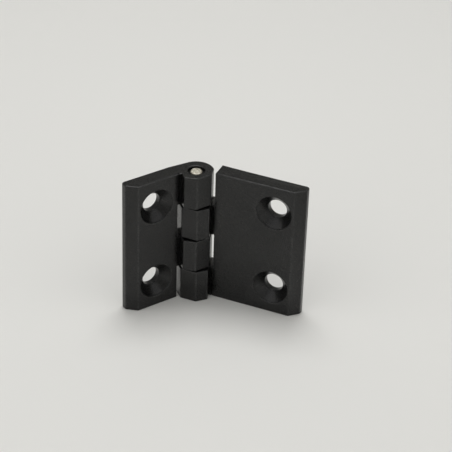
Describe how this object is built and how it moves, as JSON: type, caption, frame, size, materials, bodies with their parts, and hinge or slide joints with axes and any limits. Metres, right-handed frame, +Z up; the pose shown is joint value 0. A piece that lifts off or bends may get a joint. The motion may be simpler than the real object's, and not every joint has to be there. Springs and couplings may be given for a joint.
{
  "type": "door hinge",
  "caption": "Butt hinge with a short and a long leaf, countersunk screw holes, interleaved faceted knuckles and a plain steel pin; the leaves swing about the pin.",
  "frame": {"origin": "middle of the long leaf's back face, centred between its two screw holes; the pin axis is at x = -28 mm, y = -6.8 mm", "axes": "+X from the pin towards the long leaf's outer edge, +Y out of the long leaf's back face, +Z up along the pin towards the short leaf's end knuckle"},
  "size_m": [0.0573, 0.0263, 0.05],
  "materials": {
    "leaf_coating": "fine-textured black powder coat",
    "pin_steel": "drawn and turned bright steel"
  },
  "bodies": {
    "long_leaf": {"long_leaf": "leaf_coating", "hinge_pin": "pin_steel"},
    "short_leaf": {"short_leaf": "leaf_coating"}
  },
  "joints": [
    {"name": "leaf_swing", "type": "hinge", "parent": "long_leaf", "child": "short_leaf", "pos_m": [-0.028, -0.0068, 0], "axis": [0, 0, -1], "range_deg": [-122, 142]}
  ]
}
